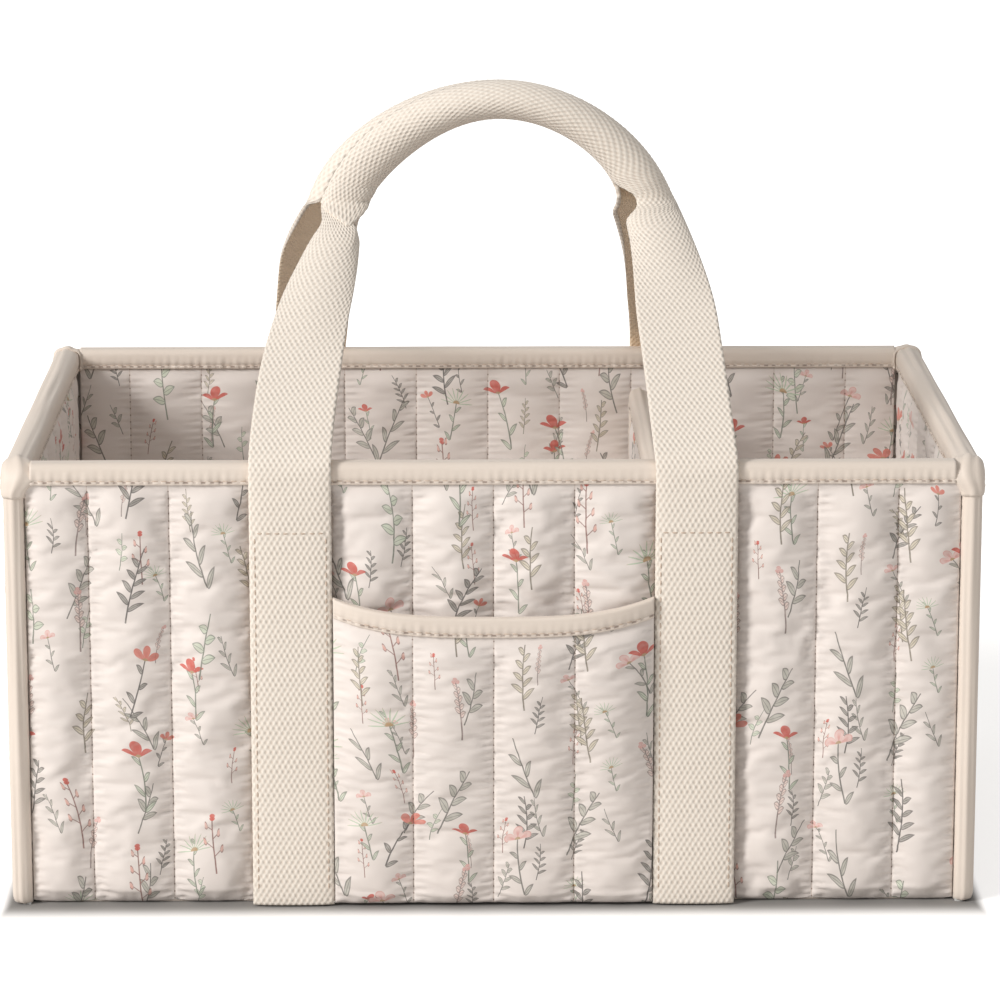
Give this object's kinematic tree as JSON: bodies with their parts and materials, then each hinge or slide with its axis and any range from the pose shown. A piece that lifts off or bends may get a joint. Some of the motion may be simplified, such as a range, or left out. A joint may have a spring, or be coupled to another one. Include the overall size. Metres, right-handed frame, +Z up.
{
  "type": "baby organizer caddy",
  "caption": "Open quilted fabric caddy with bound edges, patch pockets on its long sides, webbing straps joined in a rolled grip, and a padded divider set along the inside.",
  "frame": {"origin": "on the ground under the middle of the base", "axes": "+X to the right along the long side, -Y to the front with the pocket that the picture shows, +Z up"},
  "size_m": [0.38, 0.2776, 0.3112],
  "materials": {
    "printed_cotton": "quilted cotton with a small botanical print on a cream-blush ground",
    "binding_cotton": "plain cream-peach cotton tape, stitched",
    "webbing": "natural cotton webbing in a diamond weave",
    "hook_and_loop": "cream hook and loop tape",
    "stiff_board": "stiffening board, hidden",
    "core_foam": "soft core, hidden"
  },
  "bodies": {
    "caddy": {"front_shell": "printed_cotton", "front_board": "stiff_board", "front_lining": "printed_cotton", "back_shell": "printed_cotton", "back_board": "stiff_board", "back_lining": "printed_cotton", "left_shell": "printed_cotton", "left_board": "stiff_board", "left_lining": "printed_cotton", "right_shell": "printed_cotton", "right_board": "stiff_board", "right_lining": "printed_cotton", "front_rim_binding": "binding_cotton", "front_pocket_panel": "printed_cotton", "front_pocket_binding": "binding_cotton", "front_loop_tape": "hook_and_loop", "front_strap_left": "webbing", "front_strap_right": "webbing", "front_leg_left": "webbing", "front_leg_right": "webbing", "back_rim_binding": "binding_cotton", "back_pocket_panel": "printed_cotton", "back_pocket_binding": "binding_cotton", "back_loop_tape": "hook_and_loop", "back_strap_left": "webbing", "back_strap_right": "webbing", "back_leg_left": "webbing", "back_leg_right": "webbing", "left_edge_binding": "binding_cotton", "right_edge_binding": "binding_cotton", "base_sheet": "printed_cotton", "base_board": "stiff_board", "base_pad": "printed_cotton"},
    "grip": {"grip_front_web": "webbing", "grip_back_web": "webbing", "grip_core": "core_foam"},
    "divider": {"divider_sheet_left": "printed_cotton", "divider_sheet_right": "printed_cotton", "divider_board": "stiff_board", "divider_binding": "binding_cotton", "divider_hook_tape_front": "hook_and_loop", "divider_hook_tape_back": "hook_and_loop"}
  },
  "joints": [
    {"name": "handle_drop", "type": "slide", "parent": "caddy", "child": "grip", "axis": [0, 0, -1], "range_m": [0, 0.075], "deforming": ["front_leg_left", "front_leg_right", "back_leg_left", "back_leg_right"]},
    {"name": "divider_place", "type": "slide", "parent": "caddy", "child": "divider", "axis": [1, 0, 0], "range_m": [-0.226, 0.094]}
  ]
}
